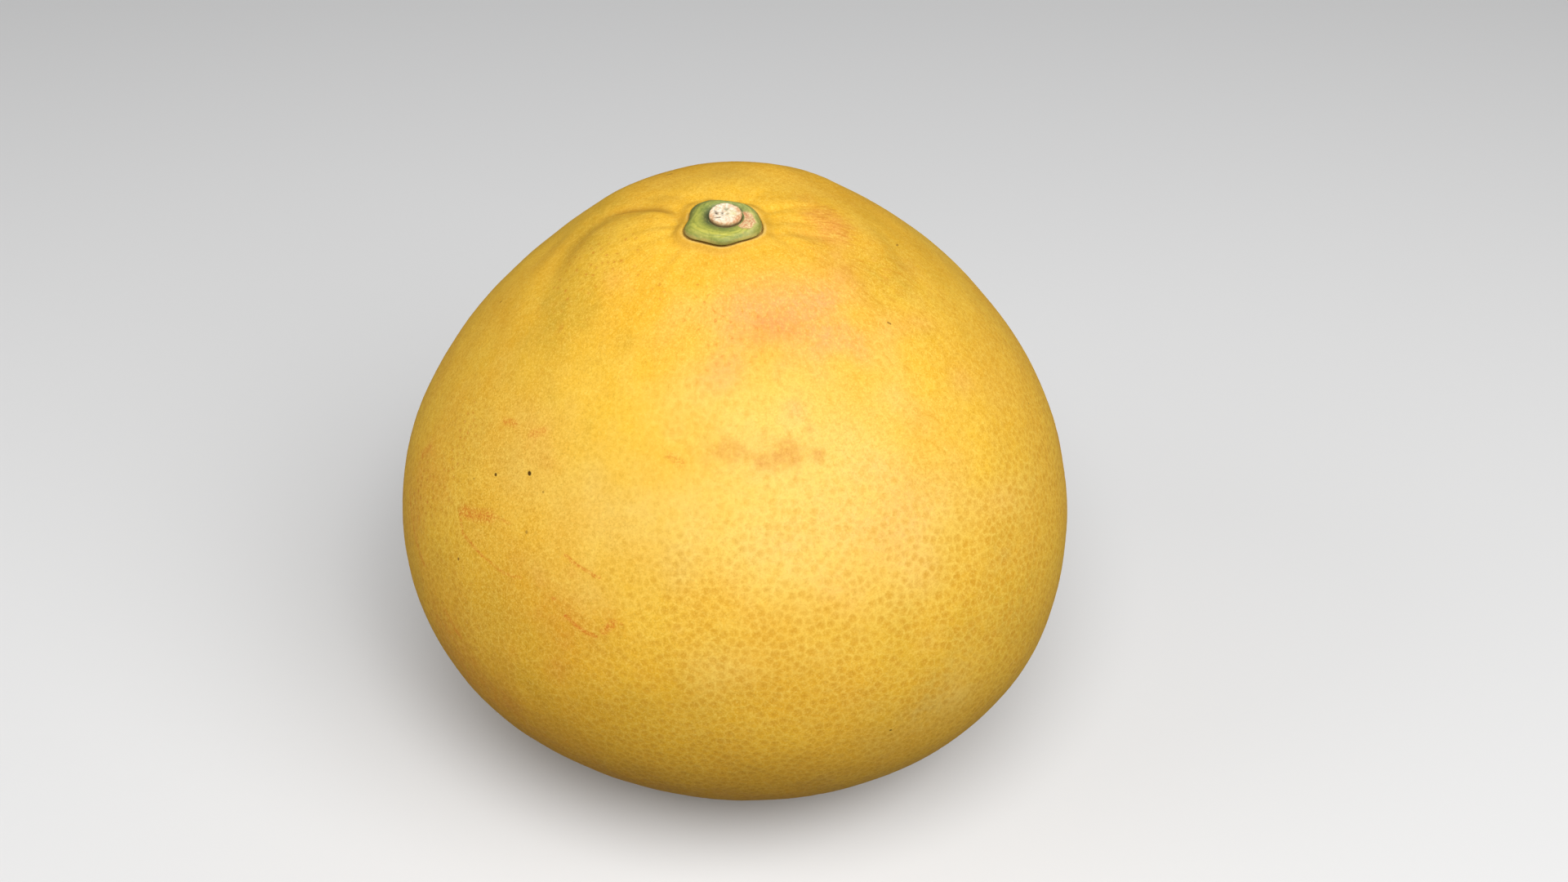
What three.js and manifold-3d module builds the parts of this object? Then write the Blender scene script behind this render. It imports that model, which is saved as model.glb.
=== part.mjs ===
// A pomelo as picked: the whole fruit, the green calyx left at its top and the cut end of its stalk.
// Millimetres, +Z up. The origin is the middle of the small flat spot that the fruit rests on.
import * as THREE from 'three';
import { mergeVertices } from 'three/addons/utils/BufferGeometryUtils.js';
import Module from 'manifold-3d';

const wasm = await Module();
wasm.setup();

// ---- Driving dimensions (mm and degrees) -------------------------------------------------------

// The fruit is a closed surface round one centre. Its radius there is a mean plus a few smooth waves:
// polar waves run from the stalk (angle 0) to the blossom end (angle 180), lobe waves run round it.
const MEAN_RADIUS = 71.2;
const POLAR_WAVES = [3.1, -2.95, 2.55, 1.2]; // heights of the waves of 1, 2, 3 and 4 turns
const LOBES = [ // waves round the waist: [count, height, direction of a crest]
  [3, 1.35, -49],
  [4, 0.57, 43],
  [5, 0.33, -23],
];
const SHOULDERS = [ // waves round the upper half only
  [2, 1.2, -48],
  [3, 0.64, -25],
  [4, 1.58, -2],
  [5, 0.5, 17],
];

// Furrows in the shoulder, seen from above: an arc from start to end, bent towards bend.
const FURROWS = [
  { start: [-8, 3], bend: [-31.5, 23.5], end: [-36, -9], width: 4.3, depth: 1.15 },
  { start: [9, -3], bend: [27, 1], end: [33, -20], width: 6.0, depth: 0.9 },
  { start: [29, 12], bend: [35, 6], end: [36, -3], width: 3.0, depth: 0.35 },
];
const FURROW_STEPS = 16;
const FURROW_FADE = 0.25; // share of a furrow's length over which each end fades
const FURROW_END_DEPTH = 0.35; // share of the depth left at its ends
const HILL = { centre: [-17, -8], width: 13, height: 1.0 }; // the full shoulder inside the long furrow

const SEAT = { width: 9.5, depth: 1.3, flatness: 1.5 }; // shallow dip of the peel under the calyx

const LEAN = 6; // the stalk end leans this much towards -Y
const ROLL = -2.3; // and this much towards -X
const CENTRE = new THREE.Vector3(1.2, 2.4, 62.3); // the fruit's centre above its flat spot

// The calyx and the stalk sit just off the fruit's axis. Heights are above the peel.
const GAP = 0.3;
const STALK_CENTRE = [0.35, -1.2];
const STALK_RADIUS = 3.15;
const STALK_TOP = 2.9;
const STALK_ROUNDING = 0.7; // of the rim of its cut face
const STALK_CHAMFER = 0.25; // round its foot
const CALYX_CENTRE = [-0.31, -1.63];
const CALYX_RADIUS = 7.2;
const CALYX_OUTLINE = [ // waves round its rim: [count, height, direction of a crest]
  [2, 0.44, -8],
  [3, 0.37, -4],
  [4, 0.25, 34],
  [5, 0.29, -16],
  [6, 0.15, 29],
];
const SOCKET_RADIUS = STALK_RADIUS + GAP; // the hollow in the calyx that holds the stalk
const SOCKET_FLOOR = 0.95;
const CALYX_PROFILE = [ // [distance out, height]: its flat back, its rounded rim, its shoulder, its socket
  [0, GAP],
  [5.8, GAP],
  [6.9, GAP],
  [CALYX_RADIUS, 0.55],
  [7.0, 1.0],
  [6.55, 1.42],
  [5.9, 1.76],
  [5.2, 1.93],
  [4.2, 1.82],
  [SOCKET_RADIUS, 1.68],
  [SOCKET_RADIUS, SOCKET_FLOOR],
  [0, SOCKET_FLOOR],
];

const STYLE_SCAR = { radius: 2.6, depth: 0.6, sides: 20 }; // where the flower's style fell off
const FRUIT_DETAIL = 20; // splits of an icosahedron's edge
const BUTTON_SIDES = 36;
const WELD_DISTANCE = 1e-4; // corners nearer than this are one

const PEEL_COLOUR = 0xf2c149;
const CALYX_COLOUR = 0xa9ad51;
const STALK_COLOUR = 0xe2cba6;

// ---- The fruit's surface -----------------------------------------------------------------------

const radians = THREE.MathUtils.degToRad;

function wave([count, height, crest], azimuth) {
  return height * Math.cos(count * (azimuth - radians(crest)));
}

function sumOfWaves(waves, azimuth) {
  return waves.reduce((sum, each) => sum + wave(each, azimuth), 0);
}

function bell(distance, width) {
  return Math.exp(-((distance / width) ** 2));
}

function furrowPoint({ start, bend, end }, share) {
  const [a, b, c] = [start, bend, end].map(([x, y]) => new THREE.Vector2(x, y));
  return new THREE.QuadraticBezierCurve(a, b, c).getPoint(share);
}

// A furrow's centre line, laid once as short straight steps.
const furrowLines = FURROWS.map((furrow) =>
  Array.from({ length: FURROW_STEPS + 1 }, (_, i) => furrowPoint(furrow, i / FURROW_STEPS)));

function nearestOnLine(line, x, y) {
  let best = { distance: Infinity, share: 0 };
  for (let i = 0; i < FURROW_STEPS; i += 1) {
    const step = line[i + 1].clone().sub(line[i]);
    const reach = new THREE.Vector2(x, y).sub(line[i]);
    const along = THREE.MathUtils.clamp(reach.dot(step) / step.lengthSq(), 0, 1);
    const distance = reach.sub(step.multiplyScalar(along)).length();
    if (distance < best.distance) best = { distance, share: (i + along) / FURROW_STEPS };
  }
  return best;
}

function furrowCut(furrow, line, x, y) {
  const { distance, share } = nearestOnLine(line, x, y);
  const ease = THREE.MathUtils.smoothstep(Math.min(share, 1 - share), 0, FURROW_FADE);
  const strength = FURROW_END_DEPTH + (1 - FURROW_END_DEPTH) * ease;
  return furrow.depth * bell(distance, furrow.width) * strength;
}

// Height of the small forms round the stalk, at a place seen from above.
function shoulderRelief(x, y) {
  const hill = HILL.height * bell(Math.hypot(x - HILL.centre[0], y - HILL.centre[1]), HILL.width);
  const seat = SEAT.depth * Math.exp(-(((x * x + y * y) / SEAT.width ** 2) ** SEAT.flatness));
  const cuts = FURROWS.map((furrow, i) => furrowCut(furrow, furrowLines[i], x, y));
  return hill - seat - cuts.reduce((sum, cut) => sum + cut, 0);
}

function peelRadius(polar, azimuth) {
  const c = Math.cos(polar);
  const s = Math.sin(polar);
  let radius = MEAN_RADIUS;
  POLAR_WAVES.forEach((height, i) => { radius += height * Math.cos((i + 1) * polar); });
  radius += s * s * sumOfWaves(LOBES, azimuth);
  if (c <= 0) return radius;
  radius += s * s * c * sumOfWaves(SHOULDERS, azimuth);
  const reach = MEAN_RADIUS * s;
  return radius + shoulderRelief(reach * Math.cos(azimuth), reach * Math.sin(azimuth));
}

// ---- From geometry to solids and back ----------------------------------------------------------

const lean = new THREE.Matrix4().compose(
  CENTRE,
  new THREE.Quaternion().setFromEuler(new THREE.Euler(radians(LEAN), radians(ROLL), 0, 'XYZ')),
  new THREE.Vector3(1, 1, 1),
);

// Joins a geometry's shared corners and leaves out the flat triangles at its poles.
function weld(geometry) {
  const bare = geometry.clone();
  bare.deleteAttribute('normal');
  bare.deleteAttribute('uv');
  const welded = mergeVertices(bare, WELD_DISTANCE);
  const corners = [];
  for (let i = 0; i < welded.index.count; i += 3) {
    const [a, b, c] = [0, 1, 2].map((k) => welded.index.getX(i + k));
    if (a !== b && b !== c && c !== a) corners.push(a, b, c);
  }
  welded.setIndex(corners);
  return welded;
}

// Moves every vertex of a geometry to where place(vertex) says.
function reshape(geometry, place) {
  const position = geometry.attributes.position;
  for (let i = 0; i < position.count; i += 1) {
    const vertex = new THREE.Vector3().fromBufferAttribute(position, i);
    position.setXYZ(i, ...place(vertex).toArray());
  }
  return geometry;
}

function toSolid(geometry) {
  const vertProperties = new Float32Array(geometry.attributes.position.array);
  const triVerts = new Uint32Array(geometry.index.array);
  return new wasm.Manifold(new wasm.Mesh({ numProp: 3, vertProperties, triVerts }));
}

function toGeometry(solid) {
  const { vertProperties, triVerts } = solid.getMesh();
  const geometry = new THREE.BufferGeometry();
  geometry.setAttribute('position', new THREE.BufferAttribute(vertProperties, 3));
  geometry.setIndex(new THREE.BufferAttribute(triVerts, 1));
  return geometry;
}

// ---- Fruit -------------------------------------------------------------------------------------

function peelPoint(direction, height = 0) {
  const unit = direction.clone().normalize();
  const polar = Math.acos(THREE.MathUtils.clamp(unit.z, -1, 1));
  return unit.multiplyScalar(peelRadius(polar, Math.atan2(unit.y, unit.x)) + height);
}

function makeFruit() {
  const ball = weld(new THREE.IcosahedronGeometry(1, FRUIT_DETAIL));
  reshape(ball, (vertex) => peelPoint(vertex)).applyMatrix4(lean);

  const side = 4 * MEAN_RADIUS;
  const ground = new THREE.BoxGeometry(side, side, side).translate(0, 0, -side / 2);

  const blossomEnd = new THREE.Vector3(0, 0, -peelRadius(Math.PI, 0)).applyMatrix4(lean);
  const dimple = new THREE.SphereGeometry(1, STYLE_SCAR.sides, STYLE_SCAR.sides / 2)
    .scale(STYLE_SCAR.radius, STYLE_SCAR.radius, STYLE_SCAR.depth)
    .translate(blossomEnd.x, blossomEnd.y, 0);

  return toGeometry(toSolid(ball).subtract(toSolid(weld(ground))).subtract(toSolid(weld(dimple))));
}

// ---- Calyx and stalk ---------------------------------------------------------------------------

// Turns a profile of [radius, height above the peel] round an upright axis, moves each of its places
// on the plan to where place(x, y) says, and lays it on the curved peel.
function makeButtonPiece(profile, place) {
  const points = profile.map(([r, h]) => new THREE.Vector2(r, h));
  const turned = weld(new THREE.LatheGeometry(points, BUTTON_SIDES).rotateX(Math.PI / 2));
  const crown = peelRadius(0, 0);
  reshape(turned, ({ x, y, z }) => peelPoint(new THREE.Vector3(...place(x, y), crown), z));
  return turned.applyMatrix4(lean);
}

// A fleshy ring with a rounded rim. Its socket is round the stalk, and its rim follows the outline
// round its own centre.
function makeCalyx() {
  return makeButtonPiece(CALYX_PROFILE, (x, y) => {
    const azimuth = Math.atan2(y, x);
    const outwards = THREE.MathUtils.smoothstep(Math.hypot(x, y), SOCKET_RADIUS, CALYX_RADIUS);
    const rim = sumOfWaves(CALYX_OUTLINE, azimuth) / CALYX_RADIUS;
    return [x, y].map((value, i) => THREE.MathUtils.lerp(STALK_CENTRE[i], CALYX_CENTRE[i], outwards)
      + value * (1 + outwards * rim));
  });
}

// The stalk was cut just above the calyx. Its end is flat with a rounded rim.
function makeStalk() {
  const foot = SOCKET_FLOOR + GAP;
  const rim = [0, 30, 60, 90].map(radians).map((turn) => [
    STALK_RADIUS - STALK_ROUNDING * (1 - Math.cos(turn)),
    STALK_TOP - STALK_ROUNDING * (1 - Math.sin(turn)),
  ]);
  const profile = [
    [0, foot],
    [STALK_RADIUS - STALK_CHAMFER, foot],
    [STALK_RADIUS, foot + STALK_CHAMFER],
    ...rim,
    [0, STALK_TOP],
  ];
  return makeButtonPiece(profile, (x, y) => [STALK_CENTRE[0] + x, STALK_CENTRE[1] + y]);
}

// ---- Scene graph -------------------------------------------------------------------------------

function makeMesh(name, geometry, colour, roughness) {
  const material = new THREE.MeshStandardMaterial({ color: colour, roughness, metalness: 0 });
  const mesh = new THREE.Mesh(geometry, material);
  mesh.name = name;
  return mesh;
}

const group = new THREE.Group();
group.add(
  makeMesh('fruit', makeFruit(), PEEL_COLOUR, 0.5),
  makeMesh('calyx', makeCalyx(), CALYX_COLOUR, 0.6),
  makeMesh('stem_stub', makeStalk(), STALK_COLOUR, 0.85),
);

export default group;
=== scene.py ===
# %% [markdown]
# # A whole pomelo, with its calyx and the cut end of its stalk
#
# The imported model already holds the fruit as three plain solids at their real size. This lesson
# dresses them: a fine peel with oil glands, creases and blemishes, a fleshy green calyx and a corky
# cut stalk. Everything is in metres, in the same frame as the solids, so nothing has to be fitted.

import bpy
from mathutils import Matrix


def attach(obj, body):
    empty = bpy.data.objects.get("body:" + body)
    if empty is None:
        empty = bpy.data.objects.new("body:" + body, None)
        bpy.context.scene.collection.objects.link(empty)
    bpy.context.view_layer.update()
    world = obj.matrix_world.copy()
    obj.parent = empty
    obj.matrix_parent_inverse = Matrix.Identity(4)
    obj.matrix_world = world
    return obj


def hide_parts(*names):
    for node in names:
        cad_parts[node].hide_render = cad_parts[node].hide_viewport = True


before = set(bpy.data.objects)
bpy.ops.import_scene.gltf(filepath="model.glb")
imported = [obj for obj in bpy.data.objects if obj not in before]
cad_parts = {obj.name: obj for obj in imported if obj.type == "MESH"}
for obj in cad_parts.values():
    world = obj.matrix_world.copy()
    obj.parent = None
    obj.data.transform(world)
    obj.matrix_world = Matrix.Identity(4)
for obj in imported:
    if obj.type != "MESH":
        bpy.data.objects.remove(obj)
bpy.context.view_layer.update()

# %% Tools
import math

import bmesh
import bpy
import numpy as np
from mathutils import Euler, Matrix, Vector
from mathutils.kdtree import KDTree

MM = 0.001
PER_METRE = 1000.0  # millimetres
rng = np.random.default_rng(61)


def bell(distance, width):
    """1 at no distance, fading smoothly to 0 past the width."""
    return np.exp(-((distance / width) ** 2))


def ease(value, low, high):
    """0 below low, 1 above high and a soft S between them."""
    share = np.clip((value - low) / (high - low), 0, 1)
    return share * share * (3 - 2 * share)


# %% [markdown]
# ## Where the fruit stands
#
# A heavy fruit leans until its weight is over its flat spot. Here the stalk end leans a few degrees
# towards the viewer. All forms below are worked out in the fruit's own frame, whose +Z runs from the
# fruit's centre to the stalk, and one matrix then leans them and lifts them onto the ground.

# %% The fruit's own frame
CENTRE = Vector((1.2, 2.4, 62.3))  # mm above the flat spot
LEAN, ROLL = 6.0, -2.3  # degrees
LEANING = Matrix.Rotation(math.radians(LEAN), 3, "X") @ Matrix.Rotation(math.radians(ROLL), 3, "Y")


def to_world(points):
    """Rows of millimetres in the fruit's own frame, as metres in the model's frame."""
    return (points @ np.array(LEANING).T + np.array(CENTRE)) * MM


def directions(polar, azimuth):
    """Unit rows for angles in radians: polar from the stalk, azimuth round it."""
    ring = np.sin(polar)
    return np.stack([ring * np.cos(azimuth), ring * np.sin(azimuth), np.cos(polar)], axis=-1)


# %% [markdown]
# ## The form of the peel
#
# A pomelo is a ball that grew unevenly: flat below, drawn up towards the stalk, with a few broad
# lobes. A subdivided ball sculpted by eye would work, but it would drift away from the solid that
# stands in for it. So the same few waves give the radius here: polar waves shape the profile, lobe
# waves run round the waist, and long furrows run down from the stalk.

# %% Radius of the peel in every direction
MEAN_RADIUS = 71.2
POLAR_WAVES = [3.1, -2.95, 2.55, 1.2]
LOBES = [(3, 1.35, -49), (4, 0.57, 43), (5, 0.33, -23)]  # count, height, a crest's azimuth
SHOULDERS = [(2, 1.2, -48), (3, 0.64, -25), (4, 1.58, -2), (5, 0.5, 17)]
FURROWS = [  # seen from above: start, bend, end, width, depth
    ((-8, 3), (-31.5, 23.5), (-36, -9), 4.3, 1.15),
    ((9, -3), (27, 1), (33, -20), 6.0, 0.9),
    ((29, 12), (35, 6), (36, -3), 3.0, 0.35),
]
FURROW_STEPS, FURROW_FADE, FURROW_END_DEPTH = 16, 0.25, 0.35
HILL_CENTRE, HILL_WIDTH, HILL_HEIGHT = (-17, -8), 13, 1.0
SEAT_WIDTH, SEAT_DEPTH = 9.5, 1.3


def waves(azimuth, rows):
    return sum(height * np.cos(count * (azimuth - math.radians(crest))) for count, height, crest in rows)


def near_arc(x, y, start, bend, end):
    """Distance to an arc seen from above, and the share of its length at the nearest point."""
    t = np.linspace(0, 1, FURROW_STEPS + 1)[:, None]
    line = (1 - t) ** 2 * np.array(start) + 2 * t * (1 - t) * np.array(bend) + t * t * np.array(end)
    best, share = np.full(np.shape(x), np.inf), np.zeros(np.shape(x))
    for i in range(FURROW_STEPS):
        step = line[i + 1] - line[i]
        reach_x, reach_y = x - line[i][0], y - line[i][1]
        along = np.clip((reach_x * step[0] + reach_y * step[1]) / (step @ step), 0, 1)
        distance = np.hypot(reach_x - along * step[0], reach_y - along * step[1])
        share = np.where(distance < best, (i + along) / FURROW_STEPS, share)
        best = np.minimum(best, distance)
    return best, share


def furrow(x, y, start, bend, end, width, depth):
    distance, share = near_arc(x, y, start, bend, end)
    fade = ease(np.minimum(share, 1 - share), 0, FURROW_FADE)
    return depth * bell(distance, width) * (FURROW_END_DEPTH + (1 - FURROW_END_DEPTH) * fade)


def from_above(polar, azimuth):
    """Millimetres right and back of the stalk's axis."""
    return MEAN_RADIUS * np.sin(polar) * np.cos(azimuth), MEAN_RADIUS * np.sin(polar) * np.sin(azimuth)


def peel_radius(polar, azimuth):
    c, s = np.cos(polar), np.sin(polar)
    x, y = from_above(polar, azimuth)
    radius = MEAN_RADIUS + sum(h * np.cos((i + 1) * polar) for i, h in enumerate(POLAR_WAVES))
    radius = radius + s * s * waves(azimuth, LOBES)
    upper = s * s * c * waves(azimuth, SHOULDERS)
    upper = upper + HILL_HEIGHT * bell(np.hypot(x - HILL_CENTRE[0], y - HILL_CENTRE[1]), HILL_WIDTH)
    upper = upper - SEAT_DEPTH * np.exp(-(((x * x + y * y) / SEAT_WIDTH**2) ** 1.5))
    upper = upper - sum(furrow(x, y, *row) for row in FURROWS)
    return radius + np.where(c > 0, upper, 0)


front = np.float64(-math.pi / 2)
radii = [round(float(peel_radius(np.float64(p), front)), 1) for p in (0, math.pi / 2, math.pi)]
print("radius at stalk, front and blossom end:", radii, "mm")

# %% [markdown]
# ## Smooth unevenness
#
# Many small effects need a random but smooth field: lumps in the peel, ragged patch edges, ripples on
# the calyx. A sum of plane waves with random directions does it for a whole array of points at once,
# and its seed makes every run alike.

# %% A smooth random field
WAVE_COUNT = 14
COARSEST, FINEST = 0.7, 1.4  # how far the waves may stray from the pitch that the size asks for
USUAL_PEAK = 1.6  # of the sum, which is brought back to 1


def uneven(points, size, seed):
    """About -1 to 1, with bumps roughly size millimetres across."""
    draw = np.random.default_rng(seed)
    ways = draw.normal(size=(WAVE_COUNT, 3))
    pitch = math.pi / size * draw.uniform(COARSEST, FINEST, (WAVE_COUNT, 1))
    ways *= pitch / np.linalg.norm(ways, axis=1, keepdims=True)
    turns = draw.uniform(0, 2 * math.pi, WAVE_COUNT)
    return np.cos(points @ ways.T + turns).sum(axis=1) / math.sqrt(WAVE_COUNT / 2) / USUAL_PEAK


# %% [markdown]
# ## Calyx outline
#
# The calyx has blunt corners where its sepals grew together. Peel, calyx and stalk all need to know
# where its edge runs, so one function gives it, and another turns any place seen from above into a
# reach: the distance from its middle, measured so that the calyx edge is always at the same value.

# %% Where the calyx edge runs
STALK_CENTRE, SOCKET_RADIUS = np.array((0.35, -1.2)), 3.45
CALYX_CENTRE, CALYX_RADIUS = np.array((-0.31, -1.63)), 7.2
CALYX_OUTLINE = [(2, 0.44, -8), (3, 0.37, -4), (4, 0.25, 34), (5, 0.29, -16), (6, 0.15, 29)]


def calyx_edge(azimuth):
    return CALYX_RADIUS + waves(azimuth, CALYX_OUTLINE)


def from_calyx(x, y):
    """Reach and azimuth round the calyx of places seen from above."""
    dx, dy = x - CALYX_CENTRE[0], y - CALYX_CENTRE[1]
    azimuth = np.arctan2(dy, dx)
    return np.hypot(dx, dy) * CALYX_RADIUS / calyx_edge(azimuth), azimuth


# %% [markdown]
# ## The oil glands
#
# The skin of a citrus fruit is full of oil glands, about 2 mm apart. An image texture or a plain
# Voronoi pattern would show seams or slices, because neither follows a closed round surface. Here the
# glands are real places: a spiral lattice spreads them evenly, each is nudged by a random draw, and a
# few rounds of pushing neighbours apart leave an even but irregular skin.

# %% Scatter the glands
GLAND_SPACING = 2.1  # mm
GLAND_JITTER, GLAND_ROUNDS, GLAND_PUSH, NEIGHBOURS = 0.45, 3, 0.35, 6
SKIN_RADIUS, ROOM = 70.5, 0.866  # mm, and the share of a square that one gland needs in a close layer
GLAND_COUNT = int(4 * math.pi * SKIN_RADIUS**2 / (ROOM * GLAND_SPACING**2))
GOLDEN_TURN = math.pi * (3 - math.sqrt(5))


def tree_of(points):
    tree = KDTree(len(points))
    for i, point in enumerate(points):
        tree.insert(point, i)
    tree.balance()
    return tree


def scatter_glands():
    order = np.arange(GLAND_COUNT) + 0.5
    ways = directions(np.arccos(1 - 2 * order / GLAND_COUNT), GOLDEN_TURN * order)
    spacing = GLAND_SPACING / MEAN_RADIUS
    ways += rng.normal(size=ways.shape) * spacing * GLAND_JITTER
    for _ in range(GLAND_ROUNDS):
        ways /= np.linalg.norm(ways, axis=1, keepdims=True)
        tree = tree_of(ways)
        near = np.array([[hit[1] for hit in tree.find_n(way, NEIGHBOURS + 1)[1:]] for way in ways])
        away = ways[:, None] - ways[near]
        gap = np.linalg.norm(away, axis=2, keepdims=True)
        ways = ways + (away / gap * np.clip(spacing - gap, 0, None) * GLAND_PUSH).sum(axis=1)
    return ways / np.linalg.norm(ways, axis=1, keepdims=True)


gland_ways = scatter_glands()
print(len(gland_ways), "oil glands")

# %% [markdown]
# ## Fine forms of the peel
#
# Between the broad form and the colour lies the relief that catches the light: lumps from half a
# centimetre to a few centimetres wide, knolls near the crown, fine folds and creases that run from the
# calyx, a thin lip of peel round it with a gap inside, and the dent of the style scar below. They are
# added to the radius, in millimetres.

# %% Relief that is too fine for the solid
LUMPS = [(34, 0.22, 1), (15, 0.1, 2), (6, 0.045, 3)]  # size, height, seed
FOLD_COUNTS = [(9, 0.10, 0.4), (15, 0.08, 2.0), (24, 0.05, 4.1)]  # round the stalk: count, height, phase
FOLD_WANDER, FOLDS_BEGIN, FOLDS_FADE = 1.2, (8, 10.5), (12, 26)  # the last two are reaches in mm
CREASES = [  # thin creases beside the calyx: start, bend, end, width, depth
    ((-8.8, 1.5), (-16, 12), (-25, 12.5), 1.1, 0.55),
    ((7.5, -4.2), (14, -3.4), (21, -1.2), 0.9, 0.22),
    ((8.2, -1.0), (13, 1.0), (19, 2.2), 0.8, 0.16),
    ((7.5, 2.2), (12, 5.5), (18, 7.5), 0.9, 0.14),
    ((-4.6, 5.6), (-8, 10), (-15, 13.5), 1.1, 0.18),
    ((5, -8.5), (8, -12), (13, -14), 1.2, 0.1),
    ((-5, -9), (-8, -12), (-9, -17), 1.2, 0.1),
]
KNOLLS = [  # polar, azimuth, half sizes across and down, height
    (21.0, 69, 8, 6, 1.0), (29.0, 57, 8, 6, 0.7), (18.5, 91, 7, 6, -0.5), (22, 113, 8, 6, 0.3),
    (28, 134, 8, 6, 0.55), (16, 134, 6, 5, -0.3), (34, 160, 9, 7, -1.1), (42, 149, 8, 7, -0.5),
    (31.6, 27, 9, 7, -0.6),
]
SKIN_INSET = 0.3  # keeps the lumps inside the solid
LIP_INNER, LIP_CREST, LIP_OUTER, LIP_HEIGHT = 6.85, 7.3, 9.8, 0.85  # reaches, and height, in mm
LIP_FRONT = -80  # the azimuth where the lip is highest
STYLE_DENT_WIDTH, STYLE_DENT_DEPTH = 2.34, 0.96  # mm


def ways_at(polar, azimuth):
    """The way to a place given in degrees, and the ways across and down the slope from there."""
    p, a = math.radians(polar), math.radians(azimuth)
    across = np.array([-math.sin(a), math.cos(a), 0])
    down = np.array([math.cos(p) * math.cos(a), math.cos(p) * math.sin(a), -math.sin(p)])
    return directions(np.float64(p), np.float64(a)), across, down


def dome(ways, polar, azimuth, half_across, half_down, height):
    """A soft knoll or hollow at a place in degrees, its half sizes in mm across and down the slope."""
    middle, across, down = ways_at(polar, azimuth)
    spread = np.hypot(ways @ across * MEAN_RADIUS / half_across, ways @ down * MEAN_RADIUS / half_down)
    return height * bell(spread, 1) * (ways @ middle > 0)


def fine_relief(ways, polar, azimuth):
    x, y = from_above(polar, azimuth)
    points = ways * MEAN_RADIUS
    relief = sum(height * uneven(points, size, seed) for size, height, seed in LUMPS) - SKIN_INSET
    relief = relief + sum(dome(ways, *row) for row in KNOLLS)
    reach, round_stalk = from_calyx(x, y)
    top = np.cos(polar) > 0
    wander = FOLD_WANDER * uneven(points, 9, 11)
    folds = sum(h * np.cos(n * round_stalk + phase + wander) for n, h, phase in FOLD_COUNTS)
    folds = folds * ease(reach, *FOLDS_BEGIN) * (1 - ease(reach, *FOLDS_FADE))
    folds = folds - sum(furrow(x, y, *row) for row in CREASES)
    fuller = 0.9 + 0.1 * np.cos(round_stalk - math.radians(LIP_FRONT)) + 0.15 * uneven(points, 2.5, 12)
    lip = LIP_HEIGHT * fuller * ease(reach, LIP_INNER, LIP_CREST) * (1 - ease(reach, LIP_CREST, LIP_OUTER))
    dent = STYLE_DENT_DEPTH * bell(MEAN_RADIUS * np.sin(polar), STYLE_DENT_WIDTH)
    return relief + np.where(top, folds + lip, -dent)


# %% [markdown]
# ## The peel's mesh
#
# `create_uvsphere` gives closed poles and rings that run round the stalk, so creases and the lip
# follow the mesh. Its rings are first drawn closer together beside the calyx, where the finest forms
# are, and then every vertex moves out to the radius of its direction.

# %% Make the peel
PEEL_SEGMENTS, PEEL_RINGS = 440, 226
FINE_AT, FINE_WIDTH, FINE_GAIN = 5.9, 1.9, 10.0  # degrees from the stalk, and how much denser


def ring_angles(samples=4001):
    """The polar angle of each ring, with the rings closer together beside the calyx."""
    angles = np.linspace(0, math.pi, samples)
    density = 1 + FINE_GAIN * bell(np.degrees(angles) - FINE_AT, FINE_WIDTH)
    grown = np.concatenate([[0], np.cumsum((density[1:] + density[:-1]) / 2)])
    return np.interp(np.linspace(0, grown[-1], PEEL_RINGS + 1), grown, angles)


def points_of(mesh):
    points = np.empty(len(mesh.vertices) * 3)
    mesh.vertices.foreach_get("co", points)
    return points.reshape(-1, 3)


def set_points(mesh, points):
    mesh.vertices.foreach_set("co", np.asarray(points, np.float32).ravel())
    mesh.update()


def new_piece(name, bm):
    mesh = bpy.data.meshes.new(name)
    bm.to_mesh(mesh)
    bm.free()
    mesh.shade_smooth()
    piece = bpy.data.objects.new(name, mesh)
    bpy.context.scene.collection.objects.link(piece)
    return piece


ball = bmesh.new()
bmesh.ops.create_uvsphere(ball, u_segments=PEEL_SEGMENTS, v_segments=PEEL_RINGS, radius=1)
peel = new_piece("peel", ball)
even = points_of(peel.data)
even /= np.linalg.norm(even, axis=1, keepdims=True)
even_rings = np.linspace(0, math.pi, PEEL_RINGS + 1)
peel_polar = np.interp(np.arccos(np.clip(even[:, 2], -1, 1)), even_rings, ring_angles())
peel_azimuth = np.arctan2(even[:, 1], even[:, 0])
peel_ways = directions(peel_polar, peel_azimuth)
print("peel", len(peel.data.vertices), "vertices")

# %% [markdown]
# ## Pits, flat spot and the glands' places
#
# Each gland is a shallow pit. The mesh carries the pit itself, and each face also remembers the three
# glands nearest to it. The material can then measure the exact distance to a gland at every point
# that is drawn, so the dots stay crisp however close the camera comes.

# %% Press in the pits and the flat spot
FLAT_SOFTNESS = 0.18  # mm, the rounding at the rim of the flat spot
PIT_DEPTH, PIT_WIDTH, PITS_BEGIN = 0.06, 0.75, (8, 14)  # mm, and the reaches where pits come in
gland_radius = peel_radius(np.arccos(gland_ways[:, 2]), np.arctan2(gland_ways[:, 1], gland_ways[:, 0]))
gland_points = to_world(gland_ways * gland_radius[:, None])
gland_tree = tree_of(gland_points)

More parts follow.
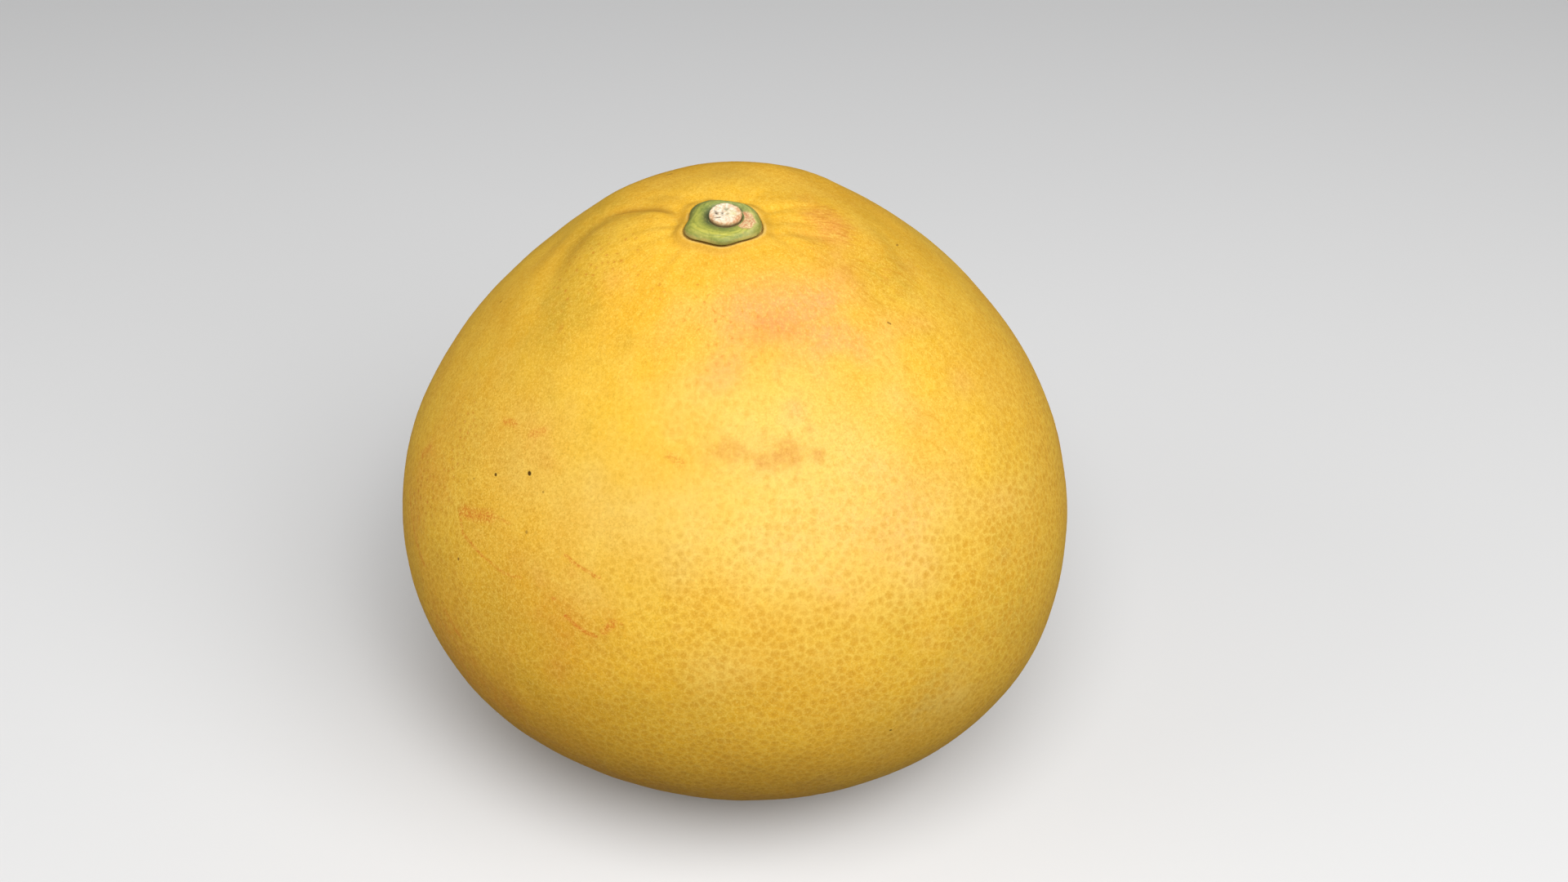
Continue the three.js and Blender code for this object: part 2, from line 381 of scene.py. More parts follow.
radius = peel_radius(peel_polar, peel_azimuth) + fine_relief(peel_ways, peel_polar, peel_azimuth)
places = to_world(peel_ways * radius[:, None])
gland_distance = np.array([gland_tree.find(place)[2] for place in places]) / MM
peel_reach, peel_round = from_calyx(*from_above(peel_polar, peel_azimuth))
near_stalk = peel_polar < 1  # radians, because a reach has no meaning on the lower half
pits = PIT_DEPTH * bell(gland_distance, PIT_WIDTH) * np.where(near_stalk, ease(peel_reach, *PITS_BEGIN), 1)
places = to_world(peel_ways * (radius - pits)[:, None])
height = places[:, 2] / MM
places[:, 2] = (height + np.sqrt(height**2 + FLAT_SOFTNESS**2)) / 2 * MM
set_points(peel.data, places)
print("lowest point", round(float(places[:, 2].min()) / MM, 3), "mm")

# %% Let each face remember its glands
def store_places(piece, name, places, domain):
    layer = piece.data.attributes.new(name, "FLOAT_VECTOR", domain)
    layer.data.foreach_set("vector", places.astype(np.float32).ravel())


face_middles = np.empty(len(peel.data.polygons) * 3)
peel.data.polygons.foreach_get("center", face_middles)
nearest = np.array([[hit[1] for hit in gland_tree.find_n(m, 3)] for m in face_middles.reshape(-1, 3)])
for rank in range(3):
    store_places(peel, f"gland_{rank + 1}", gland_points[nearest[:, rank]], "FACE")
print("peel", sum(len(p.vertices) - 2 for p in peel.data.polygons), "triangles")

# %% [markdown]
# ## Broad patches of colour
#
# A ripe pomelo is never one yellow. The crown is warmer in places, and handling leaves pink and brown
# bruises. Some patches are painted light: the deeper yellow below the waist and towards the shaded side
# is painted shade, the olive is partly the peel's green and partly painted shade beside the furrow and on
# the lower belt, and the pale patches are mainly a painted highlight on the lit front, partly paler peel.
# Each kind of patch is painted as a soft oval on the peel, with its edge made ragged, and stored as one
# number per vertex that the material reads by name.

# %% Patch and side masks
RAGGED, TATTER = 0.35, 0.6  # how far a patch's edge strays, and its tatters' size beside the patch


def patch(ways, polar, azimuth, length, width, turn, strength, seed):
    """A soft oval on the fruit, its middle at the angles in degrees and its half sizes in mm."""
    middle, across, down = ways_at(polar, azimuth)
    u, v = ways @ across * MEAN_RADIUS, ways @ down * MEAN_RADIUS
    c, s = math.cos(math.radians(turn)), math.sin(math.radians(turn))
    u, v = (c * u + s * v) / length, (c * v - s * u) / width
    tatters = uneven(ways * MEAN_RADIUS, 0.5 * (length + width) * TATTER, seed)
    edge = np.hypot(u, v) * (1 + RAGGED * tatters)
    return strength * np.where(ways @ middle > 0, np.exp(-(edge**2)), 0)


def side(around, azimuth, sharpness=1.0):
    """1 on one side of the stalk, 0 on the other."""
    return (0.5 + 0.5 * np.cos(around - math.radians(azimuth))) ** sharpness


def store(piece, name, values):
    """A mask from 0 to 1, kept as one number for each vertex."""
    layer = piece.data.attributes.new(name, "FLOAT", "POINT")
    layer.data.foreach_set("value", np.clip(values, 0, 1).astype(np.float32))


# %% Where the patches lie
PATCHES = {  # polar, azimuth, half length, half width, turn, strength
    "blush": [
        (19.5, -68, 14, 8.5, 0, 0.95), (26, -50, 8, 6, 20, 0.5), (56, -58, 16, 11, -20, 0.35),
        (16.5, 5, 5, 4, 0, 0.35)],
    "bruise": [
        (22.0, -70, 5.5, 2.8, 10, 0.6), (40.9, -76, 4.2, 3.0, 0, 1.0), (39.6, -89.5, 5, 2.2, 5, 0.65),
        (48, 112, 7, 3, 20, 0.5)],
    # olive: partly the peel's green tint, partly painted shade beside the furrow and on the lower belt
    "olive_and_shade": [
        (29.0, -158.0, 9, 7, 20, 0.8), (24, 150, 12, 6, -40, 0.5), (27.6, -14, 6, 12, 5, 0.7),
        (38, -155, 10, 12, 0, 0.3), (30, 3, 8, 8, 0, 0.45), (78, -30, 26, 22, 0, 0.35),
        (70, 60, 24, 14, 30, 0.5), (100, 150, 26, 16, -20, 0.35), (79, -47, 15, 10, 0, 0.5),
        (77, -131, 14, 10, 0, 0.45), (78, -90, 18, 7, 0, 0.2), (84, -106, 14, 8, 0, 0.35),
        (86, -64, 12, 7, 0, 0.3), (64, -46, 12, 10, 0, 0.25), (71, -65, 10, 8, 0, 0.25),
        (25.6, 157, 10, 4, 0, 0.5)],
    "amber": [
        (15.6, 9, 6, 3.6, 0, 0.75), (18.8, 10, 4, 3, 0, 0.5), (71, -118, 9, 5, 0, 0.55),
        (46.5, -139, 6, 3, 10, 0.5), (70, -161, 8, 12, 0, 0.8), (92, -143, 11, 14, 0, 0.8),
        (98, -130, 20, 9, 20, 0.7), (108, -108, 26, 9, 0, 0.6), (72, -120, 12, 8, 30, 0.3),
        (90, 10, 14, 8, 20, 0.4), (65, 120, 10, 14, 0, 0.4)],
    # warm: a deeper yellow; on the crown mostly a tone of the peel, on the lower left painted shade
    "warm_and_shade": [
        (20, -112, 22, 14, 0, 0.7), (20, 80, 34, 16, 0, 0.85), (17, -20, 10, 9, 0, 0.4),
        (78, -122, 30, 22, 10, 0.5), (66, -117, 9, 7, 0, 0.9)],
    # pale: mainly a painted highlight on the lit front, partly paler peel
    "pale_and_highlight": [
        (52.5, -77, 25, 16, 0, 1.0), (36, -72, 16, 12, 0, 0.6), (55, -56, 14, 12, 0, 0.4),
        (50, 80, 26, 16, 10, 0.4), (50, -136, 14, 10, 0, 0.35), (54, -113, 13, 8, 0, 0.45),
        (14.4, 83, 16, 6, 0, 0.2), (33, -90, 12, 7, 0, 0.35)],
    "scuffed": [(15.6, 9, 6, 4.2, 0, 0.9), (18.8, 10, 5, 3.5, 0, 0.7), (27, -12, 8, 7, 0, 0.4)],
    "smooth": [
        (42, -104, 22, 18, 0, 0.9), (30, -88, 20, 12, 0, 0.4), (60, -72, 26, 18, 0, 0.5),
        (58, 150, 20, 20, 0, 0.5)],
    "scurf": [(60, -152, 22, 22, 0, 1.0), (76, -136, 16, 14, 0, 0.6), (62, 40, 26, 18, 0, 0.5)],
    "silver": [(89, -60, 12, 6, -30, 0.5), (96, 170, 14, 7, 20, 0.4)],
    "freckle": [
        (20, -172, 6, 12, 0, 0.7), (24, -165, 8, 8, 0, 0.5), (16.2, -99, 8, 5, 0, 0.6),
        (16.1, -131, 7, 5, 0, 0.5), (18.5, -95, 8, 6, 0, 0.6), (24, -85, 16, 9, 0, 0.4),
        (24, 100, 14, 8, 0, 0.6), (64, -158, 12, 14, 0, 0.9), (86, -148, 16, 16, 0, 0.6),
        (70, -118, 12, 10, 0, 0.4), (70, 20, 20, 20, 0, 0.4)],
}
print(sum(len(rows) for rows in PATCHES.values()), "patches of", len(PATCHES), "kinds")

# %% Paint the patches
# Below the waist the warm layer grows, most on the shaded side: a deeper, darker yellow that is painted
# shade.
SHADE_BELOW, SHADED_SIDE = (math.radians(66), math.radians(112)), -140
FIRST_SEED = 20
for name, rows in PATCHES.items():
    total = sum(patch(peel_ways, *row, FIRST_SEED + i) for i, row in enumerate(rows))
    if name == "warm_and_shade":
        total = total + ease(peel_polar, *SHADE_BELOW) * (0.25 + 0.75 * side(peel_azimuth, SHADED_SIDE))
    store(peel, name, total)
print("patch layers:", ", ".join(PATCHES))

# %% [markdown]
# ## How clearly the peel shows its parts
#
# Glands are faint on the crown and plain lower down. Round the calyx the peel's lip catches the light,
# the skin under the calyx rim is painted light cream to take the shadow out of the gap there, a soft
# ring of painted shade lies round the calyx, the creases get painted shade, and fine streaks run
# outwards from the stalk. For the streaks each vertex keeps a place that changes fast round the stalk
# and slowly away from it, so plain noise read there comes out long and thin.

# %% Masks for glands, lip, the painted light seat and the painted shade ring
peel_points = peel_ways * MEAN_RADIUS
GLANDS_PLAIN, GLANDS_SIDE = (math.radians(36), math.radians(74)), math.radians(-30)
show = 0.32 + 0.68 * ease(peel_polar, *GLANDS_PLAIN)
show = show * (0.84 + 0.17 * np.cos(peel_azimuth - GLANDS_SIDE)) + 0.1 * uneven(peel_points, 18, 31)
store(peel, "gland_show", show)
lip_sides = 0.1 + 0.35 * uneven(peel_points, 2.5, 33) + 0.7 * side(peel_round, -130, 8)
lip_sides = lip_sides + 0.7 * side(peel_round, -20, 8)
lip = ease(peel_reach, 7.12, 7.26) * (1 - ease(peel_reach, 7.4, 7.9)) * near_stalk
store(peel, "lip", lip * lip_sides)
# Painted light: the peel under the calyx rim is tinted light cream, so the gap there shows less shadow.
store(peel, "seat_painted_light", (1 - ease(peel_reach, 7.05, 7.2)) * near_stalk)
# Painted shade: a soft darker ring on the peel round the calyx, strongest on the left, in front and on the
# right.
shade_ring_sides = 0.3 + 0.7 * side(peel_round, -165, 4) + 0.5 * side(peel_round, -90, 10)
shade_ring_sides = shade_ring_sides + 0.4 * side(peel_round, 10, 6)
store(peel, "calyx_shade_ring", bell(peel_reach - 8.3, 0.9) * shade_ring_sides * near_stalk)
print("glands show", round(float(show.min()), 2), "to", round(float(show.max()), 2))

# %% Masks for creases and streaks
# Painted shade: the thin creases beside the calyx are tinted darker where they run.
crease_shade = sum(furrow(*from_above(peel_polar, peel_azimuth), *row[:3], 0.8 * row[3], share)
              for row, share in zip(CREASES, (1.0, 0.45)))
store(peel, "crease_shade", crease_shade * near_stalk)
store(peel, "style_scar", bell(MEAN_RADIUS * np.sin(peel_polar), 2.2) * (peel_polar > 2))
STREAK_TURN, STREAK_REACH = 26, 0.25  # mm round the stalk for one radian, and mm outwards for each mm
fading = 0.75 * ease(peel_reach, 20, 45) * (1 - 0.8 * side(peel_round, -15, 3))
store(peel, "streak_show", ease(peel_reach, 8, 11) * (1 - fading) * near_stalk)
streak_places = np.column_stack([np.cos(peel_round) * STREAK_TURN, np.sin(peel_round) * STREAK_TURN,
                                 peel_reach * STREAK_REACH]) * MM
store_places(peel, "streak_place", streak_places, "POINT")
print("the peel now carries", len(peel.data.attributes), "attributes")

# %% [markdown]
# ## Calyx and cut stalk
#
# The calyx is the green star of sepals that stays on the fruit, swollen into a blunt-cornered collar.
# The stalk was cut just above it and its end has dried to pale cork. Both are round at heart, so
# each starts as a profile turned once round the stalk with `spin`, and is then pulled to its outline.

# %% Turn a smooth profile
WELD = 0.002  # mm, closer than which two points become one


def smooth_profile(corners, steps=7):
    """A Catmull-Rom curve through the corners, which are rows of reach and height in mm."""
    rows = np.array([corners[0]] + list(corners) + [corners[-1]], float)
    line = []
    for a, b, c, d in zip(rows, rows[1:], rows[2:], rows[3:]):
        for t in np.arange(steps) / steps:
            line.append(0.5 * (2 * b + (c - a) * t + (2 * a - 5 * b + 4 * c - d) * t**2
                               + (3 * b - a - 3 * c + d) * t**3))
    line = np.array(line + [rows[-1]])
    line[:, 0] = np.clip(line[:, 0], 0, None)
    return line


def turned(name, line, steps):
    bm = bmesh.new()
    ring = [bm.verts.new((reach, 0, height)) for reach, height in line]
    edges = [bm.edges.new(pair) for pair in zip(ring, ring[1:])]
    bmesh.ops.spin(bm, geom=ring + edges, cent=(0, 0, 0), axis=(0, 0, 1), angle=2 * math.pi,
                   steps=steps, use_merge=True)
    bmesh.ops.remove_doubles(bm, verts=bm.verts, dist=WELD)
    bmesh.ops.recalc_face_normals(bm, faces=bm.faces)
    return new_piece(name, bm)


def drape(plan, height):
    """Places seen from above, standing that high over the bare peel, as world points."""
    crown = float(peel_radius(np.float64(0), np.float64(0)))
    ways = np.column_stack([plan, np.full(len(plan), crown)])
    ways /= np.linalg.norm(ways, axis=1, keepdims=True)
    radius = peel_radius(np.arccos(ways[:, 2]), np.arctan2(ways[:, 1], ways[:, 0])) + height
    return to_world(ways * radius[:, None])


# %% [markdown]
# ## The calyx
#
# Its back lies on the peel, its shoulder is a soft ridge, and inside that a groove goes round the
# stalk. A dry tan scar lies beside the stalk, and faint ridges run along the rim as in any fleshy
# sepal. The relief is added to the height, so the outline stays where the peel's gap expects it.

# %% Make the calyx
CALYX_PROFILE = [(0, 0.3), (5.8, 0.3), (6.9, 0.3), (7.17, 0.42), (7.17, 0.62), (6.95, 1.0), (6.55, 1.4),
                 (5.95, 1.74), (5.2, 1.92), (4.2, 1.85), (3.55, 1.76), (3.25, 1.5), (3.2, 1.0), (0, 0.95)]
CALYX_STEPS = 240
SCAR_X, SCAR_Y, SCAR_HALF_WIDTH, SCAR_HALF_LENGTH, SCAR_DEPTH, SCAR_RIM = 4.2, -2.4, 2.0, 3.4, 0.14, 0.06
GROOVE_REACH, GROOVE_WIDTH, GROOVE_DEPTH, RIDGE_HEIGHT = 3.6, 0.6, 0.4, 0.045
calyx = turned("green_calyx", smooth_profile(CALYX_PROFILE), CALYX_STEPS)
flat = points_of(calyx.data)
reach = np.hypot(flat[:, 0], flat[:, 1])
around = np.arctan2(flat[:, 1], flat[:, 0])
outwards = ease(reach, SOCKET_RADIUS, CALYX_RADIUS)[:, None]
widen = 1 + outwards[:, 0] * (calyx_edge(around) / CALYX_RADIUS - 1)
plan = STALK_CENTRE + (CALYX_CENTRE - STALK_CENTRE) * outwards + flat[:, :2] * widen[:, None]
x, y = plan.T
on_top = ease(flat[:, 2], 1.0, 1.4) * ease(reach, 3.2, 3.5)

scar_distance = np.hypot((x - SCAR_X) / SCAR_HALF_WIDTH, (y - SCAR_Y) / SCAR_HALF_LENGTH)
scar_distance = scar_distance + 0.13 * uneven(flat, 1.1, 41)
scar = (1 - ease(scar_distance, 0.75, 1.0)) * on_top * ease(reach, 3.5, 3.8)
scar_border = bell(scar_distance - 0.98, 0.16) * on_top * ease(x, 4.2, 5.5)
ridges = np.cos(reach * 6 + 3 * uneven(flat, 2.6, 42)) * ease(reach, 4.7, 5.4) * side(around, -110, 0.7)
groove = bell(reach - GROOVE_REACH, GROOVE_WIDTH) * (0.1 + 1.5 * side(around, 140, 1.5))
fleshy = 0.09 * uneven(flat, 2.6, 43) + 0.035 * uneven(flat, 0.8, 44)
rise = RIDGE_HEIGHT * ridges + fleshy - GROOVE_DEPTH * groove - SCAR_DEPTH * scar + SCAR_RIM * scar_border
rise = rise * on_top
set_points(calyx.data, drape(plan, flat[:, 2] + rise))
print("calyx", len(calyx.data.vertices), "vertices")

# %% Masks on the calyx
# Painted shade: the groove, most on the back left, the stalk's foot and a thin ring beside it, most on the
# back right, are tinted dark grey-green.
deep = bell(reach - GROOVE_REACH, 0.9) * (0.1 + 0.95 * side(around, 145))
deep = deep + (1 - ease(reach, 3.2, SOCKET_RADIUS))
deep = deep + 0.75 * bell(reach - 3.62, 0.2) * (0.2 + 0.8 * side(around, 40))
store(calyx, "groove", deep)
store(calyx, "scar", scar)
store(calyx, "scar_border", scar_border)
# Painted highlight: a yellow band along the lit front-left of the shoulder.
store(calyx, "shoulder_highlight", bell(reach - 5.6, 0.7) * on_top * (0.1 + 1.0 * side(around, -112, 1.3)))
# Painted shade: the flanks are tinted darker olive, most on the left and the right.
store(calyx, "flank_shade", ease(reach, 5.9, 6.8) * (0.2 + 0.8 * side(around, 178, 3) + 0.7 * side(around, -8, 6)))
# The lower rim is tinted brown, most in front, on the left and on the right: partly the rim's own dry brown,
# partly painted shade where the calyx meets the peel.
rim = ease(reach, 6.75, 7.08)
brown = 0.15 + 0.8 * side(around, -88, 12) + 0.9 * side(around, -170, 10) + 0.6 * side(around, 12, 14)
store(calyx, "edge", rim * np.clip(brown + 0.2 * uneven(flat, 0.8, 46), 0, 1))
store(calyx, "rim_cream", rim * np.clip(side(around, -130, 16) + side(around, -42, 12), 0, 1))
# Painted shade: the back rim is tinted dark grey-green, and the shaded back right greyer.
store(calyx, "back_rim_shade", ease(reach, 5.2, 6.6) * side(around, 112, 2.5))
store(calyx, "shaded_side_grey", side(around, 45, 1.2) * on_top)
store(calyx, "streak", 0.5 + 0.5 * np.cos(reach * 8 + 5 * uneven(flat, 2.8, 45)) * ease(reach, 4.2, 5.2))
print("the calyx carries", len(calyx.data.attributes), "attributes")

# %% [markdown]
# ## The cut stalk
#
# The cut end is corky: cream in the middle, salmon where the bark ring dries, with a few open
# vessels. Those vessels are real pits in the mesh, because bump alone would leave a flat outline.

# %% Make the cut stalk
STALK_PROFILE = [(0, 1.25), (2.9, 1.25), (3.12, 1.5), (3.15, 2.0), (3.12, 2.35), (2.95, 2.62), (2.6, 2.73),
                 (1.3, 2.7), (0, 2.68)]
PITS = [  # right and back of the stalk's middle in mm, half sizes, turn, depth, darkness
    (-1.75, 0.1, 0.36, 0.45, 0, 0.45, 1.0),
    (-0.55, 0.0, 0.26, 0.5, 10, 0.3, 0.8),
    (-1.45, -1.45, 0.66, 0.3, 8, 0.3, 0.85),
    (0.45, -0.3, 0.26, 0.2, 0, 0.18, 0.6),
    (-2.2, -0.9, 0.15, 0.15, 0, 0.18, 0.6),
    (-2.1, 0.9, 0.12, 0.12, 0, 0.1, 0.5),
    (0.0, -0.9, 0.14, 0.12, 0, 0.1, 0.4),
    (1.1, 1.6, 0.11, 0.1, 0, 0.1, 0.5),
    (-1.0, 1.45, 0.15, 0.11, 30, 0.14, 0.5),
]
GREY_SPOT = (0.2, 1.15, 0.42, 0.4, 0, 0.12, 1.2)
STALK_STEPS = 168
stalk = turned("cut_stalk", smooth_profile(STALK_PROFILE, 9), STALK_STEPS)
flat = points_of(stalk.data)
x, y = flat[:, 0], flat[:, 1]
reach, around = np.hypot(x, y), np.arctan2(y, x)
top = ease(flat[:, 2], 2.2, 2.55)


def pit_mask(right, back, wide, deep, turn):
    c, s = math.cos(math.radians(turn)), math.sin(math.radians(turn))
    u, v = c * (x - right) + s * (y - back), c * (y - back) - s * (x - right)
    return bell(np.hypot(u / wide, v / deep) * (1 + 0.25 * uneven(flat, 0.35, 51)), 1)


rough = 0.045 * uneven(flat, 0.55, 52) + 0.03 * uneven(flat, 0.28, 53) + 0.06 * uneven(flat, 1.6, 54)
rise = rough - sum(row[5] * pit_mask(*row[:5]) for row in PITS + [GREY_SPOT])
swell = 1 + 0.012 * np.cos(3 * around + 1) + 0.008 * uneven(flat, 0.9, 55)
set_points(stalk.data, drape(STALK_CENTRE + flat[:, :2] * swell[:, None], flat[:, 2] + top * rise))
print("cut stalk", len(stalk.data.vertices), "vertices")

# %% Masks on the cut stalk
store(stalk, "pit", sum(row[6] * pit_mask(*row[:5]) for row in PITS))
store(stalk, "grey_spot", GREY_SPOT[6] * pit_mask(*GREY_SPOT[:5]))
ragged_reach = reach + 0.3 * uneven(flat, 0.9, 56)
bark = ease(ragged_reach - 0.9 * side(around, -90, 2), 1.9, 2.5) * side(around, -80, 1.0)
bark = bark + 0.8 * ease(ragged_reach, 1.7, 2.5) * side(around, 5, 3) + 0.25 * ease(ragged_reach, 2.5, 3.0)
store(stalk, "bark_ring", bark)
store(stalk, "sap_green", bell(np.hypot(x - 1.3, y + 0.1), 0.9) * (1 + 0.4 * uneven(flat, 0.6, 58)))
# Painted shade: the stalk's side, down in the calyx's socket, is tinted dark.
store(stalk, "side", 1 - ease(flat[:, 2], 1.75, 2.3))
print("the cut stalk carries", len(stalk.data.attributes), "attributes")

# %% [markdown]
# ## Writing materials as recipes
#
# Shader nodes are easier to read when each line names one ingredient. This small helper adds a node,
# joins what is a socket and sets what is a plain number. Most of a finish is one act repeated: a tint
# laid over the colour so far, where a mask shows it. `coat` does that once, and `coats` does it for
# rows of masks that the mesh carries.

# %% Tints
BODY = 0.86  # the share of light that paint on the fruit throws back


def tint(red, green, blue, share=BODY):
    """A colour as it looks on a screen, from 0 to 255, in the linear values that shaders use."""
    return tuple(share * ((v / 255 + 0.055) / 1.055) ** 2.4 for v in (red, green, blue)) + (1.0,)


def grey(value):
    return (value, value, value, 1.0)


# %% A recipe for nodes
class Recipe:
    def __init__(self, tree):
        self.tree = tree

    def give(self, socket, value):
        if isinstance(value, bpy.types.NodeSocket):
            self.tree.links.new(value, socket)
        else:
            socket.default_value = value

    def add(self, kind, inputs=None, **settings):
        node = self.tree.nodes.new("ShaderNode" + kind)
        for key, value in settings.items():
            setattr(node, key, value)
        for key, value in (inputs or {}).items():
            self.give(node.inputs[key], value)
        return node

    def math(self, operation, *values):
        return self.add("Math", dict(enumerate(values)), operation=operation).outputs[0]

    def times(self, first, second):
        return self.math("MULTIPLY", first, second)

    def vector(self, operation, *values, out="Vector"):
        return self.add("VectorMath", dict(enumerate(values)), operation=operation).outputs[out]

    def blend(self, share, below, above):
        return self.add("Mix", {0: share, 6: below, 7: above}, data_type="RGBA").outputs[2]

    def coat(self, colour, mask, strength, paint, share=BODY):
        return self.blend(self.times(mask, strength), colour, tint(*paint, share))

    def coats(self, colour, rows):
        for name, paint, strength in rows:
            colour = self.coat(colour, self.reading(name), strength, paint)
        return colour

    def span(self, value, low, high, to_low=0.0, to_high=1.0):
        inputs = {"Value": value, "From Min": low, "From Max": high, "To Min": to_low, "To Max": to_high}
        return self.add("MapRange", inputs, interpolation_type="SMOOTHSTEP").outputs["Result"]

    def bumpy(self, shader, height, strength, distance):
        bump = self.add("Bump", {"Height": height, "Strength": strength, "Distance": distance})
        self.give(shader["Normal"], bump.outputs[0])

    def reading(self, name, out="Fac"):
        return self.add("Attribute", attribute_name=name).outputs[out]

    def noise(self, place, size, detail, roughness=0.5, out="Fac"):
        inputs = {"Vector": place, "Scale": PER_METRE / size, "Detail": detail, "Roughness": roughness}
        return self.add("TexNoise", inputs).outputs[out]

    def group(self, tree, **inputs):
        node = self.add("Group", node_tree=tree)
        for key, value in inputs.items():
            self.give(node.inputs[key.replace("_", " ").capitalize()], value)
        return node.outputs


def group_tree(name, takes, gives):
    """A node group with rows of (input, kind, default) and (output, kind)."""
    tree = bpy.data.node_groups.new(name, "ShaderNodeTree")
    for label, kind, value in takes:
        socket = tree.interface.new_socket(label, in_out="INPUT", socket_type="NodeSocket" + kind)
        if value is not None:
            socket.default_value = value
    for label, kind in gives:
        tree.interface.new_socket(label, in_out="OUTPUT", socket_type="NodeSocket" + kind)
    recipe = Recipe(tree)
    return recipe, tree.nodes.new("NodeGroupInput").outputs, tree.nodes.new("NodeGroupOutput").inputs


# %% [markdown]
# ## Shared effects
#
# Two effects come back again and again, so each is a node group that is built once. *Mottle* is soft
# noise with a chosen size and contrast, and every piece has it, for whatever ripened or dried unevenly.
# *Mark* is a short stroke between two places with a ragged edge, and each small blemish of the peel is
# one or more of them: with both ends together it is a speck, and with them apart it is a scratch.

# %% Mottle group
recipe, takes, gives = group_tree("mottle", [
    ("Place", "Vector", None), ("Size", "Float", 4.0), ("Low", "Float", 0.35), ("High", "Float", 0.65)],
    [("Mask", "Float")])
scale = recipe.math("DIVIDE", PER_METRE, takes["Size"])
cloud = recipe.add("TexNoise", {"Vector": takes["Place"], "Scale": scale, "Detail": 3.0, "Roughness": 0.55})
recipe.give(gives["Mask"], recipe.span(cloud.outputs["Fac"], takes["Low"], takes["High"]))
MOTTLE = bpy.data.node_groups["mottle"]


def mottle(recipe, place, size, low=0.35, high=0.65):
    return recipe.group(MOTTLE, place=place, size=size, low=low, high=high)["Mask"]


print("mottle has", len(MOTTLE.nodes), "nodes")

# %% Mark group
TINY = 1e-9  # square metres, so that a stroke with no length can still be divided by
recipe, takes, gives = group_tree("mark", [
    ("Place", "Vector", None), ("Start", "Vector", None), ("Stroke", "Vector", None), ("Width", "Float", 0.5),
    ("Softness", "Float", 0.3), ("Ragged", "Float", 0.0)], [("Mask", "Float")])
reach = recipe.vector("SUBTRACT", takes["Place"], takes["Start"])
squared = recipe.vector("DOT_PRODUCT", takes["Stroke"], takes["Stroke"], out="Value")
along = recipe.vector("DOT_PRODUCT", reach, takes["Stroke"], out="Value")
along = recipe.math("DIVIDE", along, recipe.math("MAXIMUM", squared, TINY))
along = recipe.add("Clamp", {"Value": along}).outputs[0]
spot = recipe.add("VectorMath", {0: takes["Stroke"], "Scale": along}, operation="SCALE").outputs["Vector"]
away = recipe.times(recipe.vector("DISTANCE", reach, spot, out="Value"), PER_METRE)
away = recipe.math("ADD", away, takes["Ragged"])
outer = recipe.math("ADD", takes["Width"], takes["Softness"])
recipe.give(gives["Mask"], recipe.span(away, takes["Width"], outer, 1.0, 0.0))
MARK = bpy.data.node_groups["mark"]
print("mark has", len(MARK.nodes), "nodes")

# %% [markdown]
# ## Oil glands in the peel
#
# The group takes the three glands that each face remembers and measures the distance to them. The
# nearest one gives a soft dark dot. Where the two nearest are equally far, the pale net between the
# glands shows. White noise on the gland's own place gives each one its own size and tone.

# %% Oil gland group
WOBBLE, SMALLEST, SIZE_SPREAD = 1.0, 0.63, 0.3  # mm
SCRAMBLE = (997.0, 997.0, 997.0)  # spreads the places, so that each gland draws another number
recipe, takes, gives = group_tree("oil_glands", [
    ("Place", "Vector", None), ("First", "Vector", None), ("Second", "Vector", None),
    ("Third", "Vector", None)],
    [("Dot", "Float"), ("Net", "Float"), ("Tone", "Float"), ("Pit", "Float")])
stir = recipe.noise(takes["Place"], 0.9, 4, 0.65, out="Color")
stir = recipe.vector("SUBTRACT", stir, (0.5, 0.5, 0.5))
stir = recipe.add("VectorMath", {0: stir, "Scale": WOBBLE * MM}, operation="SCALE").outputs["Vector"]
place = recipe.vector("ADD", takes["Place"], stir)
d1, d2, d3 = [recipe.times(recipe.vector("DISTANCE", place, takes[k], out="Value"), PER_METRE)
              for k in ("First", "Second", "Third")]
near = recipe.math("MINIMUM", d1, d2)
far = recipe.math("MAXIMUM", d1, d2)
nearest = recipe.math("MINIMUM", near, d3)
second = recipe.math("MAXIMUM", near, recipe.math("MINIMUM", far, d3))
pick = recipe.add("Mix", {0: recipe.math("LESS_THAN", d2, d1), 4: takes["First"], 5: takes["Second"]},
                  data_type="VECTOR").outputs[1]
pick = recipe.add("Mix", {0: recipe.math("LESS_THAN", d3, near), 4: pick, 5: takes["Third"]},
                  data_type="VECTOR").outputs[1]
tone = recipe.add("TexWhiteNoise", {"Vector": recipe.vector("MULTIPLY", pick, SCRAMBLE)},
                  noise_dimensions="3D").outputs["Value"]
size = recipe.math("MULTIPLY_ADD", tone, SIZE_SPREAD, SMALLEST)
recipe.give(gives["Dot"], recipe.span(recipe.math("SUBTRACT", nearest, size), -0.45, 0.35, 1.0, 0.0))
recipe.give(gives["Net"], recipe.span(recipe.math("SUBTRACT", second, nearest), 0.0, 0.6, 1.0, 0.0))
recipe.give(gives["Tone"], tone)
recipe.give(gives["Pit"], recipe.span(nearest, 0.0, 1.1, 0.0, 1.0))
OIL_GLANDS = bpy.data.node_groups["oil_glands"]
print("oil_glands has", len(OIL_GLANDS.nodes), "nodes")

# %% [markdown]
# ## Peel material
#
# Peel is waxy: a clear yellow with a soft sheen. The colour is laid on in layers: ripe tones with
# painted shade below the waist and a painted highlight in front, olive that is partly painted shade,
# blush and bruises, then the glands, then the small marks of handling, and last painted shade in the
# creases and round the calyx and painted light under its rim. Each one is a mask and a tint, mixed one
# over the other.

# %% Places of the small marks
def on_peel(polar, azimuth):
    """The world point of the peel at angles in degrees."""
    p, a = np.radians([polar]), np.radians([azimuth])
    ways = directions(p, a)
    return Vector(to_world(ways * (peel_radius(p, a) + fine_relief(ways, p, a))[:, None])[0])


